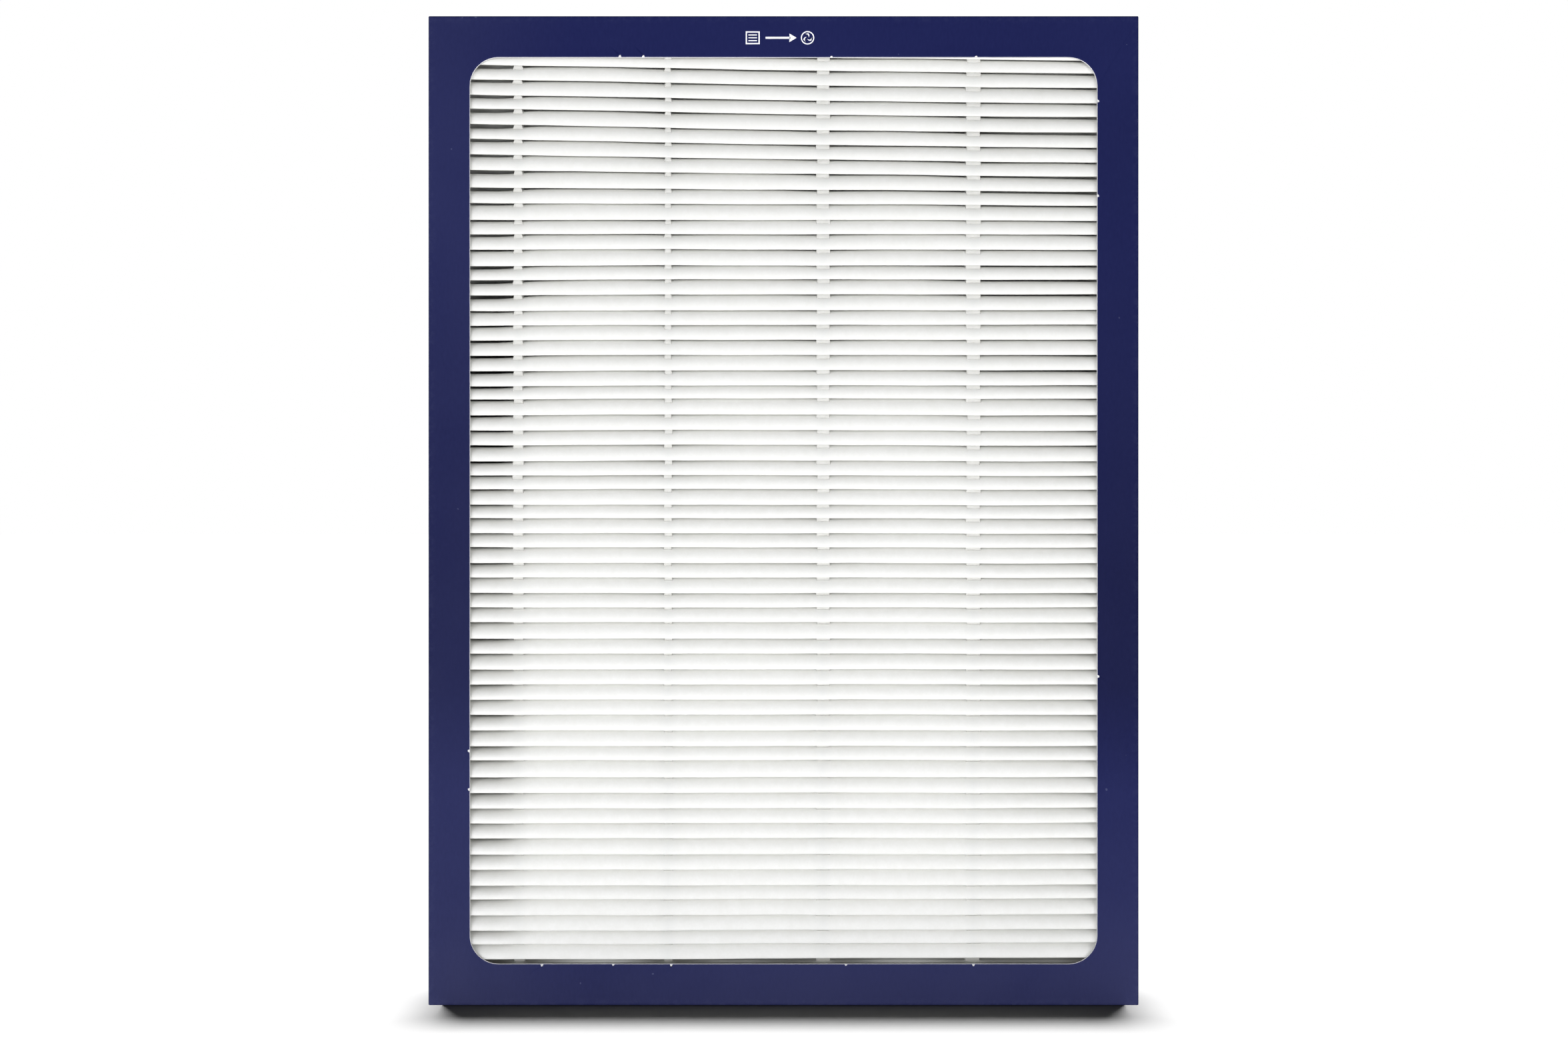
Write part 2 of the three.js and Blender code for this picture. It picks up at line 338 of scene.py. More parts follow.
def navy_laminate():
    """Navy ink under a dull satin film: cloudy ink, faint fibre relief, whitened folds, painted shade across
    the lower middle and on the right, and a painted sheen low down and on the left.
    """
    deep, pale, grained = (0.0070, 0.0098, 0.061), (0.0090, 0.0122, 0.068), (0.0125, 0.0165, 0.081)
    # Among these are the colour of the painted shade (near black) and of the painted sheen (pale bluish
    # white).
    fleck, painted_shade_colour = (0.10, 0.11, 0.20), (0.0, 0.0, 0.004)
    painted_sheen_colour, cracked = (0.62, 0.62, 0.68), (0.22, 0.24, 0.36)
    g = Graph("navy_laminate")
    clouds = g.noise(9, 3, 0.6)
    grain = g.noise(900, 2, 0.6, g.stretched((1, 1, 0.35)))
    ink = g.mix(g.remap(clouds, 0.35, 0.65, 0, 1), deep, pale)
    ink = g.mix(g.remap(grain, 0.3, 0.7, 0, 0.35), ink, grained)
    flecks = g.math("GREATER_THAN", g.noise(260, 1, 0.5), 0.805)
    ink = g.mix(g.math("MULTIPLY", flecks, 0.35), ink, fleck)
    shade_amount, sheen_amount = painted_shade_and_sheen(g)
    # Painted shade: the ink is darkened towards black across the lower middle and on the right.
    ink = g.mix(shade_amount, ink, painted_shade_colour)
    # Painted sheen: a pale haze low down and on the left stands for reflected light.
    ink = g.mix(g.math("MULTIPLY", sheen_amount, g.remap(clouds, 0.3, 0.7, 0.7, 1.2)), ink, painted_sheen_colour)
    cracks = g.remap(g.noise(420, 4, 0.7), 0.46, 0.62, 0, 1)
    worn = g.math("MULTIPLY", g.attribute("wear"), cracks, clamp=True)
    ink = g.mix(g.math("MULTIPLY", worn, 0.16), ink, cracked)
    scuffs = g.noise(38, 5, 0.72, g.stretched((1, 1, 0.25)))
    rough = g.remap(scuffs, 0.3, 0.7, 0.52, 0.64)
    rough = g.math("ADD", rough, g.math("MULTIPLY", worn, 0.3))
    peel = g.bump(g.noise(330, 2, 0.5), 0.10, 0.0003)
    relief = g.bump(g.noise(1500, 3, 0.6, g.stretched((1, 1, 0.4))), 0.08, 0.0001, peel)
    g.set(Specular_IOR_Level=0.06)
    return g.finish(ink, rough, relief)


def raw_board():
    """The cut edge of white-lined board: pressed pulp layers with loose fibres."""
    g = Graph("raw_board")
    layers = g.noise(500, 4, 0.7, g.stretched((1, 6, 1)))
    fibres = g.noise(2600, 3, 0.7)
    tone = g.mix(g.remap(layers, 0.3, 0.7, 0, 1), (0.66, 0.655, 0.67), (0.74, 0.74, 0.76))
    tone = g.mix(g.remap(fibres, 0.35, 0.65, 0, 0.4), tone, (0.54, 0.53, 0.52))
    rough = g.remap(fibres, 0.3, 0.7, 0.86, 0.98)
    relief = g.bump(layers, 0.5, 0.0003, g.bump(fibres, 0.5, 0.0001))
    g.set(Specular_IOR_Level=0.25)
    return g.finish(tone, rough, relief)


def inner_board():
    """The unprinted inside of the board: pale grey, matt and fibrous."""
    g = Graph("inner_board")
    cloud = g.noise(60, 4, 0.6)
    fibres = g.noise(1400, 4, 0.7, g.stretched((1, 1, 0.3)))
    tone = g.mix(g.remap(cloud, 0.35, 0.65, 0, 1), (0.52, 0.515, 0.49), (0.58, 0.575, 0.555))
    tone = g.mix(g.remap(fibres, 0.3, 0.7, 0, 0.4), tone, (0.42, 0.405, 0.375))
    rough = g.remap(fibres, 0.3, 0.7, 0.82, 0.95)
    return g.finish(tone, rough, g.bump(fibres, 0.35, 0.00012))


def filter_paper():
    """White non-woven filter paper: tangled fibres, soft clouds, and glue smears along the spacer lines."""
    g = Graph("filter_paper")
    cloud = g.noise(240, 3, 0.6)
    fibres = g.noise(1700, 3, 0.6, g.stretched((0.55, 1, 1)), 0.6)
    specks = g.noise(5200, 2, 0.6)
    tone = g.mix(g.remap(cloud, 0.35, 0.65, 0, 1), (0.740, 0.738, 0.699), (0.768, 0.766, 0.731))
    tone = g.mix(g.remap(fibres, 0.35, 0.68, 0, 0.35), tone, (0.706, 0.703, 0.655))
    smear = g.math("MULTIPLY", g.attribute("smear"), g.remap(cloud, 0.35, 0.6, 0.4, 1.0))
    tone = g.mix(g.math("MULTIPLY", smear, 0.5), tone, (0.665, 0.67, 0.64))
    rough = g.remap(fibres, 0.3, 0.7, 0.88, 0.98)
    rough = g.math("SUBTRACT", rough, g.math("MULTIPLY", smear, 0.3))
    felt = g.bump(fibres, 0.15, 0.00005)
    fuzz = g.bump(specks, 0.10, 0.00002, felt)
    g.set(Specular_IOR_Level=0.2, Sheen_Weight=0.05, Sheen_Roughness=0.6)
    return g.finish(tone, rough, fuzz)


def hot_melt(name, pale, deep, roughness):
    """Set hot-melt glue: milky and smooth, with drawn ripples and a few trapped bubbles."""
    g = Graph(name)
    drawn = g.noise(520, 3, 0.55, g.stretched((0.5, 1, 1)))
    bubbles = g.node("ShaderNodeTexVoronoi", feature="F1")
    bubbles.inputs["Scale"].default_value = 1300
    g.link(g.place, bubbles.inputs["Vector"])
    pits = g.remap(bubbles.outputs["Distance"], 0.0, 0.22, 1, 0)
    tone = g.mix(g.remap(drawn, 0.3, 0.7, 0, 1), deep, pale)
    tone = g.mix(g.math("MULTIPLY", pits, 0.12), tone, (0.97, 0.97, 0.95))
    rough = g.remap(drawn, 0.3, 0.7, roughness - 0.06, roughness + 0.1)
    relief = g.bump(drawn, 0.18, 0.0002, g.bump(pits, 0.10, 0.00006))
    g.set(Specular_IOR_Level=0.3, Subsurface_Weight=0.35, Subsurface_Scale=0.001)
    g.shader.inputs["Subsurface Radius"].default_value = (1.0, 1.0, 0.9)
    return g.finish(tone, rough, relief)


def white_ink():
    """Opaque white print, slightly uneven over the board's grain."""
    g = Graph("white_ink")
    cover = g.noise(1500, 4, 0.65)
    tone = g.mix(g.remap(cover, 0.35, 0.65, 0, 1), (0.80, 0.81, 0.86), (0.93, 0.93, 0.95))
    rough = g.remap(cover, 0.3, 0.7, 0.42, 0.6)
    return g.finish(tone, rough, g.bump(cover, 0.15, 0.00008))


# ================================================================ mesh helpers
def add_piece(name, points_mm, faces, materials, slots=None, smooth=True, attributes=None):
    """Makes an object from points in millimetres; slots gives each face's material index."""
    mesh = bpy.data.meshes.new(name)
    points = np.asarray(points_mm, float) * MM
    mesh.from_pydata(points.tolist(), [], [tuple(int(i) for i in f) for f in faces])
    for material in materials:
        mesh.materials.append(material)
    if slots is not None:
        mesh.polygons.foreach_set("material_index", np.asarray(slots, np.int32))
    mesh.polygons.foreach_set("use_smooth", np.full(len(mesh.polygons), smooth))
    for key, values in (attributes or {}).items():
        layer = mesh.attributes.new(key, "FLOAT", "POINT")
        layer.data.foreach_set("value", np.asarray(values, np.float32))
    mesh.validate()
    mesh.update()
    piece = bpy.data.objects.new(name, mesh)
    bpy.context.scene.collection.objects.link(piece)
    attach(piece, ROOT)
    return piece


def grid_faces(rows, columns, closed=False, start=0):
    """Quads over rows x columns of points; closed joins the last column to the first."""
    reach = columns if closed else columns - 1
    return [
        (
            start + r * columns + c,
            start + r * columns + (c + 1) % columns,
            start + (r + 1) * columns + (c + 1) % columns,
            start + (r + 1) * columns + c,
        )
        for r in range(rows - 1)
        for c in range(reach)
    ]


# ================================================================ board trays
LAMINATE, RAW, INSIDE = range(3)  # the trays' material slots
Ring = namedtuple("Ring", "loop depth slot wear kind")
CUT_RINGS = 3  # the first ones, on the window's cut edge
FACE_RINGS = (0.3, 0.55, 0.8)  # shares of the way from the window to the fold
WALL_RINGS = (0.02, 0.1, 0.3, 0.5, 0.7, 0.9, 0.985)  # shares of the way from the fold to the rim
ARC_STEPS = 10  # on each rounded corner
FOLD_STEPS = 5
SIDE_STOPS_X = 24  # even steps along a level side
SIDE_STOPS_Z = 34  # and along an upright one
SEAM_STOPS = (-0.35, -0.12, 0.0, 0.12)  # places beside each corner seam
SEAM_DEPTH = 0.22
WALL_BOW = 0.25
FACE_WAVE = 0.05
EDGE_WANDER = 0.035  # of the windows' cut edges
# Torn spots on the windows' cut edges, left by the die's holding tabs: (place along the side, size).
FRONT_NICKS = {
    "top": ((-69.1, 0.95), (-59.2, 0.85), (20.2, 0.6), (81.3, 0.6)),
    "left": ((-101.5, 0.9), (-117.8, 0.8)),
    "bottom": ((-102.0, 1.0), (-71.9, 0.7), (-47.4, 1.3), (26.4, 0.7), (80.2, 1.0)),
    "right": ((173.0, 0.8), (133.0, 0.7), (-70.0, 0.9)),
}
REAR_NICKS = {
    "top": ((-74.0, 0.7), (61.0, 0.6)),
    "left": ((-88.0, 0.6), (95.0, 0.7)),
    "bottom": ((-52.0, 0.7), (70.0, 0.8)),
    "right": ((-110.0, 0.6), (84.0, 0.6)),
}
NICK_ROOM = 1.2  # half the stretch that a nick has to itself
NICK_EDGE = 0.75  # from a nick's middle to where the edge is whole again
NICK_PEAKS = ((-0.4, 1.0), (0.35, 0.85))  # (offset, share of its size)


def side_stops(half, count, seam, nicks):
    """(share, torn) along a straight side from -1 to 1: closer at nicks and at the seams near its ends."""
    inner = np.linspace(-1, 1, count + 1)[1:-1] * 0.985
    marks = [(seam + offset) / half for offset in SEAM_STOPS]
    shares = [-m for m in marks] + list(inner) + marks
    torn = []
    for place, size in nicks:
        shares = [s for s in shares if abs(s - place) * half > NICK_ROOM]
        shares += [place - NICK_EDGE / half, place + NICK_EDGE / half]
        torn += [(place + offset / half, size * part) for offset, part in NICK_PEAKS]
    return sorted([(s, 0.0) for s in shares] + torn)


def outline(half_x, half_z, radius, sides):
    """A rounded rectangle as (x, z, torn) rows, counter-clockwise from the right as seen from the front."""
    rows = []
    corners = ((1, 1, 0), (-1, 1, 90), (-1, -1, 180), (1, -1, 270))
    flat_x, flat_z = half_x - radius, half_z - radius
    for (sx, sz, start), side in zip(corners, ("top", "left", "bottom", "right")):
        for step in range(ARC_STEPS + 1):
            angle = math.radians(start + 90 * step / ARC_STEPS)
            rows.append((sx * flat_x + radius * math.cos(angle), sz * flat_z + radius * math.sin(angle), 0))
        for share, torn in sides[side]:
            rows.append({
                "top": (-share * flat_x, half_z, torn),
                "left": (-half_x, -share * flat_z, torn),
                "bottom": (share * flat_x, -half_z, torn),
                "right": (half_x, share * flat_z, torn),
            }[side])
    return np.array(rows)


def smooth_noise(t, seed, waves):
    """A smooth wandering value along t, made of a few sines."""
    r = np.random.default_rng(seed)
    return sum(
        r.uniform(0.5, 1.0) / (k + 1) * np.sin(t * r.uniform(0.7, 1.3) * (k + 1) + r.uniform(0, 6.28))
        for k in range(waves)
    )


def tray_sides(half_x, half_z, nicks):
    """The stops along each side of a tray. The nicks' places are given on the window's sides."""
    sides = {}
    for side, places in nicks.items():
        level = side in ("top", "bottom")
        half = half_x if level else half_z
        window = WINDOW_HALF[0 if level else 1] - WINDOW_RADIUS
        turn = -1 if side in ("top", "left") else 1
        shares = [(turn * place / window, size) for place, size in places]
        count = SIDE_STOPS_X if level else SIDE_STOPS_Z
        sides[side] = side_stops(half - CORNER_RADIUS, count, half - BOARD, shares)
    return sides


def tray_rings(half_x, half_z, wall, sides):
    """The tray's skin as rings: from the window's inner edge out over the face, round the fold, back along
    the walls, and forward again on their inside."""
    rings = []

    def ring(hx, hz, radius, depth, slot, wear, kind):
        rings.append(Ring(outline(hx, hz, radius, sides), depth, slot, wear, kind))

    def window_ring(outside, depth, slot, wear, kind):
        wx, wz = WINDOW_HALF
        ring(wx + outside, wz + outside, WINDOW_RADIUS + outside, depth, slot, wear, kind)

    def wall_ring(inset, depth, slot, wear=0.0, kind="wall", radius=CORNER_RADIUS):
        ring(half_x - inset, half_z - inset, radius, depth, slot, wear, kind)

    window_ring(0.05, BOARD, RAW, 0.0, "cut")
    window_ring(0.0, BOARD * 0.55, RAW, 0.0, "cut")
    window_ring(0.01, 0.1, RAW, 0.0, "cut")
    window_ring(0.06, 0.02, RAW, 0.2, "edge")
    window_ring(0.12, 0.0, LAMINATE, 0.25, "edge")
    window_ring(0.9, 0.0, LAMINATE, 0.0, "face")
    for share in FACE_RINGS:
        hx, hz = (window + (half - window) * share for window, half in zip(WINDOW_HALF, (half_x, half_z)))
        ring(hx, hz, WINDOW_RADIUS * (1 - share) + CORNER_RADIUS, 0.0, LAMINATE, 0.0, "face")
    wall_ring(FOLD_RADIUS + 0.5, 0.0, LAMINATE, 0.15)
    for step in range(FOLD_STEPS + 1):
        angle = math.pi / 2 * step / FOLD_STEPS
        inset = FOLD_RADIUS * (1 - math.sin(angle))
        back = FOLD_RADIUS * (1 - math.cos(angle))
        wall_ring(inset, back, LAMINATE, 0.1 + 0.25 * math.sin(2 * angle))
    for share in WALL_RINGS:
        depth = FOLD_RADIUS + (wall - FOLD_RADIUS) * share
        wall_ring(0.0, depth, LAMINATE, 0.3 if share == WALL_RINGS[-1] else 0.0, "side")
    inner = CORNER_RADIUS / 2
    wall_ring(0.03, wall - 0.06, RAW, 0.6)
    wall_ring(0.12, wall, RAW)
    wall_ring(BOARD - 0.1, wall, RAW, radius=inner)
    wall_ring(BOARD, wall - 0.1, INSIDE, radius=inner)
    wall_ring(BOARD, BOARD + 0.4, INSIDE, radius=inner)
    wall_ring(BOARD + 0.4, BOARD, INSIDE, radius=inner)
    return rings


def ring_points(ring, half_x, half_z, wall, wander, wave):
    """A ring's points: cut edges wander and tear, the face waves, the walls bow in and show their seams."""
    xz, torn = ring.loop[:, :2].copy(), ring.loop[:, 2]
    y = np.full(len(xz), float(ring.depth))
    if ring.kind in ("cut", "edge"):
        away = np.sign(xz) * (np.abs(xz) > np.array(WINDOW_HALF) - 1)
        xz += away * (wander + (torn if ring.kind == "edge" else 0))[:, None]
    if ring.kind == "face":
        y += FACE_WAVE * wave + FACE_WAVE
    if ring.kind == "side":
        bow = WALL_BOW * math.sin(math.pi * ring.depth / wall)
        upright = np.abs(xz[:, 0]) > half_x - 0.01
        level = np.abs(xz[:, 1]) > half_z - 0.01
        xz[upright, 0] -= np.sign(xz[upright, 0]) * bow * np.cos(xz[upright, 1] / half_z * 1.4) ** 2
        if ring.depth < wall * 0.98:
            groove = level & (np.abs(np.abs(xz[:, 0]) - (half_x - BOARD)) < 0.06)
            xz[groove, 1] -= np.sign(xz[groove, 1]) * SEAM_DEPTH
    return np.column_stack([xz[:, 0], y, xz[:, 1]])


def tray_faces(rings, points, half_x, half_z):
    """Quads from each ring to the next, and their slots; the side walls' ends show raw board."""
    around = len(rings[0].loop)
    faces, slots = [], []
    for r, ring in enumerate(rings):
        following = (r + 1) % len(rings)
        after = rings[following]
        slot = after.slot if r < CUT_RINGS else ring.slot
        for c in range(around):
            d = (c + 1) % around
            faces.append((r * around + c, following * around + c, following * around + d, r * around + d))
            middle = (points[r * around + c] + points[following * around + d]) / 2
            on_end = abs(middle[2]) > half_z - 0.3 and abs(middle[0]) > half_x - BOARD
            slots.append(RAW if on_end and ring.kind == after.kind == "side" else slot)
    return faces, slots


def add_tray(name, half_x, half_z, wall, turned, materials, seed, nicks):
    """A board tray: face at y = 0, walls back to y = wall; then put at the front or turned to the rear."""
    rings = tray_rings(half_x, half_z, wall, tray_sides(half_x, half_z, nicks))
    around = len(rings[0].loop)
    travel = np.linspace(0, 2 * math.pi, around, endpoint=False)
    wander = smooth_noise(travel * 9, seed, 6) * EDGE_WANDER
    wave = smooth_noise(travel * 3, seed + 1, 4)
    points = np.concatenate([ring_points(ring, half_x, half_z, wall, wander, wave) for ring in rings])
    faces, slots = tray_faces(rings, points, half_x, half_z)
    if turned:
        points = points * [-1, -1, 1] + [0, BACK_Y, MIDDLE_Z]
    else:
        points = points + [0, FACE_Y, MIDDLE_Z]
    wears = np.repeat([ring.wear for ring in rings], around)
    return add_piece(name, points, faces, materials, slots, attributes={"wear": wears})


# ================================================================ the pleated sheet
PACK_STATIONS = 21
SPACER_ROOM = 7
SPACER_STATIONS = (-9, -4.5, 0, 4.5, 9)
# Waves along each lip: (height, length over 2 pi). The first ones drift slowly from lip to lip.
LONG_WAVES = ((0.17, 62), (0.09, 31), (0.05, 17))
SHORT_WAVES = ((0.035, 7.3), (0.02, 3.9))
# The lips' lean across the pack: its slopes, and the heights over which it grows or fades.
UPPER_LEAN = (325, 365)
UPPER_SLOPE, UPPER_BEND = 0.013, 0.0000225
LOWER_LEAN = (20, 300)
LOWER_RUN = 265
# Distances from the middle over which the pack's ends beside the outer spacer lines get loose.
LEFT_END = (104, 124)
RIGHT_END = (74, 104)
EDGE_FLARE = 0.34
EDGE_FLARE_FROM = (104, 134)
GAP = 0.70  # between the lines; at a line SPACER_LIFT wider
SPACER_LIFT = 0.30
SPACER_REACH = 15
LOW_SHARE = 0.70  # of the gaps at the bottom to those at the top
LOW_SHARE_ENDS = (60, 300)
GAP_LIMITS = (0.14, 3.4)
FULLER = 0.6  # added to the roundness towards the top
FULLER_FROM = (100, 330)


def pack_stations():
    """Places across the pack: even steps, with closer ones beside each spacer line."""
    low, high = PACK_LOW[0], PACK_HIGH[0]
    places = set(np.linspace(low, high, PACK_STATIONS).round(2))
    for middle in SPACER_MIDDLES:
        places = {x for x in places if abs(x - middle) > SPACER_ROOM}
        places |= {middle + offset for offset in SPACER_STATIONS}
    return np.array(sorted(places))


def fade(value, low, high):
    """A smooth step from 0 at low to 1 at high."""
    t = np.clip((value - low) / (high - low), 0, 1)
    return t * t * (3 - 2 * t)


class Crests:
    """The rounded folds on one face of the pack.

    Each rolls back in a quarter turn, and its lip droops over the fold below. Depths are measured from the
    line of the crests, heights are those of the sheet's middle. The leans are the slopes of the lips at the
    top and at the bottom, and the side openings add to the gaps at the left and right ends.
    """

    def __init__(self, base, seed, leans, side_openings):
        r = np.random.default_rng(seed)
        self.base = base
        self.count = len(base)
        self.leans = leans
        self.side_openings = side_openings
        index = np.arange(self.count)
        self.loose = fade(index, -1, 3) * fade(self.count - index, 0, 2.5)
        self.phase = np.cumsum(r.normal(0, 0.5, (self.count, 3)), axis=0)
        self.wobble = r.uniform(0, 2 * math.pi, (self.count, 3))
        self.slack = r.uniform(0.8, 1.14, self.count)
        self.slack[:2] = 5.0  # the lowest gaps stand wide open
        self.end_slack = r.uniform(0.68, 1.32, (self.count, 2))

    def tip(self, i, x):
        """Height of the lip of crest i at the places x."""
        if i < 0 or i >= self.count:
            end = 0 if i < 0 else self.count - 1
            return self.tip(end, x) + (i - end) * PITCH
        z = self.base[i]
        upper, lower = self.leans
        lean = upper * fade(z, *UPPER_LEAN) * (UPPER_SLOPE * x - UPPER_BEND * x**2)
        lean = lean + lower * fade(-z, -LOWER_LEAN[1], -LOWER_LEAN[0]) * x / LOWER_RUN
        waves = [
            sum(height * np.sin(x / length + phase) for (height, length), phase in zip(kind, phases))
            for kind, phases in ((LONG_WAVES, self.phase[i]), (SHORT_WAVES, self.wobble[i]))
        ]
        return z + (lean + waves[0] + waves[1]) * self.loose[i]

    def side_share(self, x):
        """How far the places x are into the loose ends beside the outer spacer lines, left and right."""
        return fade(-x, *LEFT_END), fade(x, *RIGHT_END)

    def opening(self, i, x):
        """Gap behind the lip above crest i: held open by the glue, narrower between lines and low down."""
        i = min(max(i, 0), self.count - 1)
        spacers = sum(np.exp(-(((x - middle) / SPACER_REACH) ** 2)) for middle in SPACER_MIDDLES)
        sides = EDGE_FLARE * fade(np.abs(x), *EDGE_FLARE_FROM)
        for opening, share, slack in zip(self.side_openings, self.side_share(x), self.end_slack[i]):
            sides = sides + opening * share * slack
        height = LOW_SHARE + (1 - LOW_SHARE) * fade(self.base[i], *LOW_SHARE_ENDS)
        drift = 0.14 * np.sin(x / 41 + self.phase[i, 1] * 2) + 0.08 * np.sin(x / 19 + self.wobble[i, 2])
        middle = (GAP + SPACER_LIFT * np.minimum(spacers, 1) + drift) * height
        return np.clip((middle + sides * (3.0 - 2.0 * height)) * self.slack[i], *GAP_LIMITS)

    def rise(self, i, x):
        """How far the rolled-back side of crest i ends above its lip."""
        return self.tip(i + 1, x) + DROOP - self.tip(i, x) - SHEET - self.opening(i, x)

    def roundness(self, i, x):
        """Exponent of the roll: fuller towards the top, with a gentler slope at the loose ends."""
        left, right = self.side_share(x)
        full = FULLER * fade(self.base[min(max(i, 0), self.count - 1)], *FULLER_FROM)
        return ROUNDNESS + full - 0.35 * left - 0.2 * right

    def upper(self, i, x, depth):
        """Height of the rolled-back side at a depth."""
        ahead = 1 - np.clip(depth / ROLL, 0, 1)
        power = self.roundness(i, x)
        return self.tip(i, x) + FOLD + (self.rise(i, x) - FOLD) * (1 - ahead**power) ** (1 / power)

    def depth_at(self, i, x, z):
        """Depth at which the rolled-back side of crest i reaches the height z."""
        power = self.roundness(i, x)
        climb = np.clip((z - self.tip(i, x) - FOLD) / (self.rise(i, x) - FOLD), 0, 0.98)
        return ROLL * (1 - (1 - climb**power) ** (1 / power))

    def lower(self, i, x, depth):
        """Height of the underside at a depth. It follows the fold below and is straight at the lip."""
        if i == 0:
            ceiling = self.upper(0, x, depth) - PITCH + self.opening(0, x)
        else:
            ceiling = self.upper(i - 1, x, depth) + self.opening(i - 1, x)
        lift = ceiling + SHEET - self.tip(i, x)
        return self.tip(i, x) + (lift + np.sqrt(lift**2 + 0.1)) / 2

    def path(self, i, x, under, turns, steps):
        """(height, depth) along the sheet round crest i, from its underside to its rolled-back side."""
        rows = [(self.lower(i, x, depth), depth) for depth in under]
        for turn in range(turns + 1):
            a = math.pi / 2 * turn / turns
            rows.append((self.tip(i, x) + FOLD * (1 - math.cos(a)), FOLD * (1 - math.sin(a))))
        for step in range(1, steps + 1):
            depth = ROLL * (1 - math.cos(math.pi / 2 * step / steps))
            rows.append((self.upper(i, x, depth), depth))
        return rows


# The pitch isn't quite even: the lowest and the top pleats have settled, those in the middle stand high.
LOW_SETTLE = 2.4
LOW_SETTLE_ENDS = (60, 150)
SWELL = (0.9, 182, 42)  # height, where, and half-width
TOP_SETTLE = 1.2


class Pack:
    """The front crests, and the rear ones which lie between them."""

    def __init__(self):
        index = np.arange(PLEATS)
        drift = np.cumsum(rng.normal(0, 0.2, PLEATS))
        drift -= np.linspace(drift[0], drift[-1], PLEATS)
        even = MIDDLE_Z + (index - (PLEATS - 1) / 2) * PITCH
        base = even - LOW_SETTLE + 0.45 * drift + rng.normal(0, 0.25, PLEATS)
        swell, swell_at, swell_width = SWELL
        swelling = swell * np.exp(-(((base - swell_at) / swell_width) ** 2))
        base += LOW_SETTLE * fade(base, *LOW_SETTLE_ENDS) + swelling
        base -= TOP_SETTLE * fade(index, PLEATS - 4.5, PLEATS - 1.5)
        rear = base[:-1] + 0.48 * np.diff(base) + rng.normal(0, 0.15, PLEATS - 1)
        self.front = Crests(base, seed=31, leans=(-1.0, 0.6), side_openings=(0.66, 0.3))
        self.rear = Crests(rear, seed=47, leans=(-0.4, 0.4), side_openings=(0.9, 0.7))

    def gap(self, face, i, x, depth):
        """Heights of the two sheets that bound gap i of a face, at a depth from its crests."""
        near, far, j = (self.front, self.rear, i) if face == "front" else (self.rear, self.front, i + 1)
        bottom, top = near.upper(i, x, depth), near.lower(i + 1, x, depth)
        run = max(depth - ROLL, 0) / (2 * CREST_Y - 2 * ROLL)
        bottom = bottom + run * (far.lower(j, x, ROLL) - bottom)
        top = top + run * (far.upper(j, x, ROLL) - top)
        return bottom, top


FRONT_UNDERSIDE = (ROLL, 4.2, 2.6, 1.2)  # depths of the points under each crest
REAR_UNDERSIDE = (ROLL, 2.4)


def sheet_midline(pack, x):
    """Heights and depths of the folded sheet's middle, rows along the fold path and columns across."""
    heights, depths = [], []
    floor_z = PACK_LOW[2] + SHEET
    roof_z = PACK_HIGH[2] - SHEET

    def add(z, y):
        heights.append(np.clip(z, floor_z, roof_z))
        depths.append(np.full_like(x, y))

    add(np.full_like(x, floor_z), CREST_Y)
    for i in range(PLEATS):
        for z, depth in pack.front.path(i, x, FRONT_UNDERSIDE, 2, 8):
            add(z, depth - CREST_Y)
        if i + 1 < PLEATS:
            for z, depth in pack.rear.path(i, x, REAR_UNDERSIDE, 2, 4):
                add(z, CREST_Y - depth)
    add(np.full_like(x, roof_z), CREST_Y)
    return np.array(heights), np.array(depths)


def add_media(pack, material):
    """The whole sheet as one closed skin, of thickness SHEET."""
    x = pack_stations()
    z, y = sheet_midline(pack, x)
    along_z = np.gradient(z, axis=0)
    along_y = np.gradient(y, axis=0)
    length = np.maximum(np.hypot(along_y, along_z), 1e-6)
    normal_y, normal_z = -along_z / length, along_y / length
    rows, columns = z.shape
    across = np.broadcast_to(x, z.shape)
    smear = sum(
        fade(-np.abs(across - middle), -(high - low) * 0.75, -(high - low) * 0.35)
        for middle, (low, high) in zip(SPACER_MIDDLES, SPACER_SPANS)
    )
    skins = [
        np.stack([across, y + side * normal_y * SHEET / 2, z + side * normal_z * SHEET / 2], axis=-1)
        for side in (1, -1)
    ]
    points = np.concatenate([s.reshape(-1, 3) for s in skins])
    second = rows * columns
    faces = grid_faces(rows, columns)
    faces += [tuple(i + second for i in f[::-1]) for f in faces]
    for r in range(rows - 1):
        for c, flip in ((0, True), (columns - 1, False)):
            near, far = r * columns + c, (r + 1) * columns + c
            strip = (near, far, far + second, near + second)
            faces.append(strip[::-1] if flip else strip)
    for c in range(columns - 1):
        for r, flip in ((0, False), (rows - 1, True)):
            here = r * columns + c
            strip = (here, here + 1, here + 1 + second, here + second)
            faces.append(strip[::-1] if flip else strip)
    smears = np.concatenate([smear.reshape(-1)] * 2)
    media = add_piece(
        "pleated_filter_sheet", points, faces, [material], attributes={"smear": smears}
    )
    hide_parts("pleated_media")
    return media


# ================================================================ spacer lines
LINE_ACROSS = np.array([-1, -0.93, -0.5, 0, 0.5, 0.93, 1])  # shares of its half-width
LINE_FULLNESS = np.array([0.0, 0.8, 1, 1, 1, 0.8, 0.0])
LINE_CROWN = 0.28
LINE_FRONT = 0.5  # depth at which a finger starts under its lip
LINE_DEPTHS = (7.0, 14.0, 20.0)
GLUE_BITE = 0.1  # how far the glue reaches into the paper
WIDE_LINES = 2  # the first lines are wider at the foot
WIDER = 1.12
DROP_GROWS = (110, 260)  # heights over which the fingers reach further down the fold
TOP_NARROWS = (200, 330)


